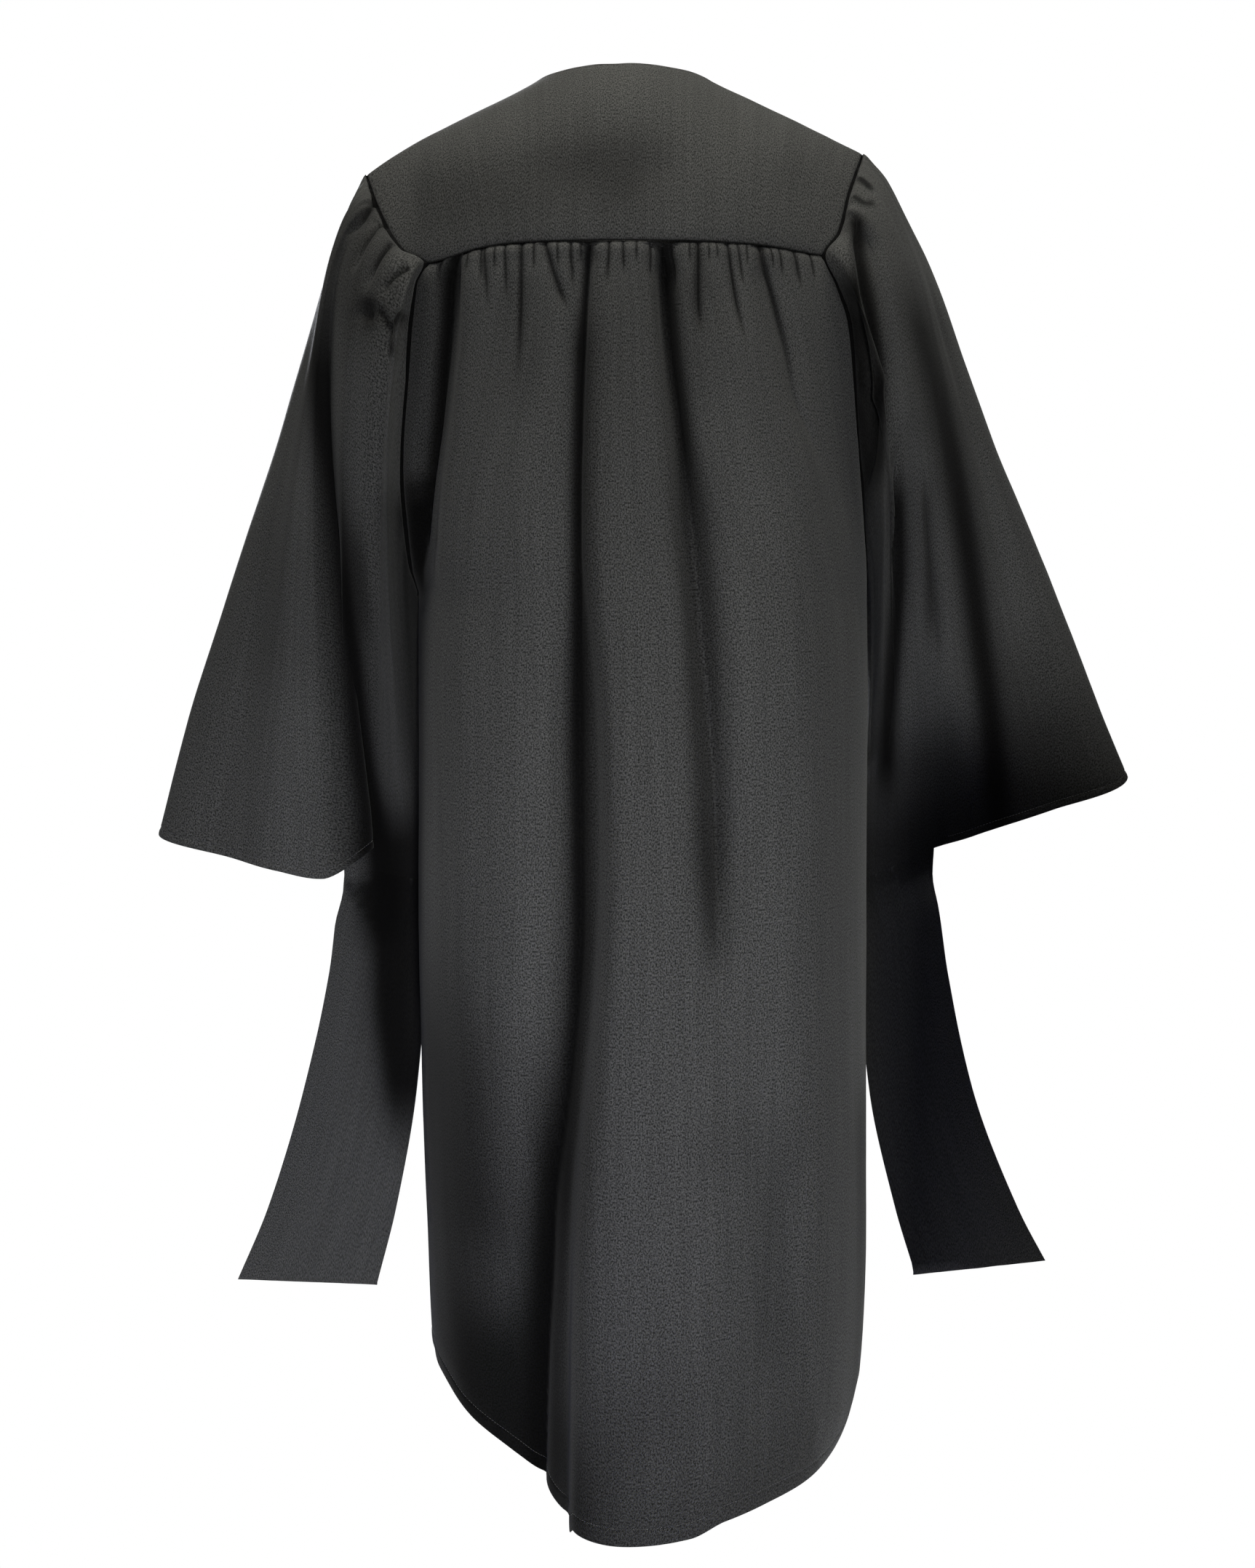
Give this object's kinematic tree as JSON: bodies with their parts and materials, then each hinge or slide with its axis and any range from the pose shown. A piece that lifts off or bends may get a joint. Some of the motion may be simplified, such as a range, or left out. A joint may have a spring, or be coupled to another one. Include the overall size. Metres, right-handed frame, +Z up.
{
  "type": "graduation gown",
  "caption": "Worn-form academic gown with a smooth shoulder yoke, gathered back, zip front and long closed sleeves with hanging tails.",
  "frame": {"origin": "middle of the neck at the height where the shoulders carry the gown", "axes": "+Z up, the front faces -Y, +X to the wearer's left"},
  "size_m": [0.9772, 0.4495, 1.3202],
  "materials": {
    "gown_cloth": "matt black woven polyester with a faint sheen",
    "zip_tape": "black woven tape",
    "zip_teeth": "black moulded coil",
    "zip_metal": "black enamelled metal"
  },
  "bodies": {
    "gown": {"back_yoke": "gown_cloth", "back_panel": "gown_cloth", "front_panel_left": "gown_cloth", "front_panel_right": "gown_cloth", "sleeve_left_back": "gown_cloth", "sleeve_left_front": "gown_cloth", "sleeve_right_back": "gown_cloth", "sleeve_right_front": "gown_cloth", "zip_tape_left": "zip_tape", "zip_tape_right": "zip_tape", "zip_chain": "zip_teeth", "zip_slider": "zip_metal"},
    "pull_tab": {"zip_pull_tab": "zip_metal"}
  },
  "joints": [
    {"name": "pull_tab_swing", "type": "hinge", "parent": "gown", "child": "pull_tab", "pos_m": [0.00296, -0.10966, -0.08982], "axis": [-1, 0, 0], "range_deg": [0, 165]}
  ]
}
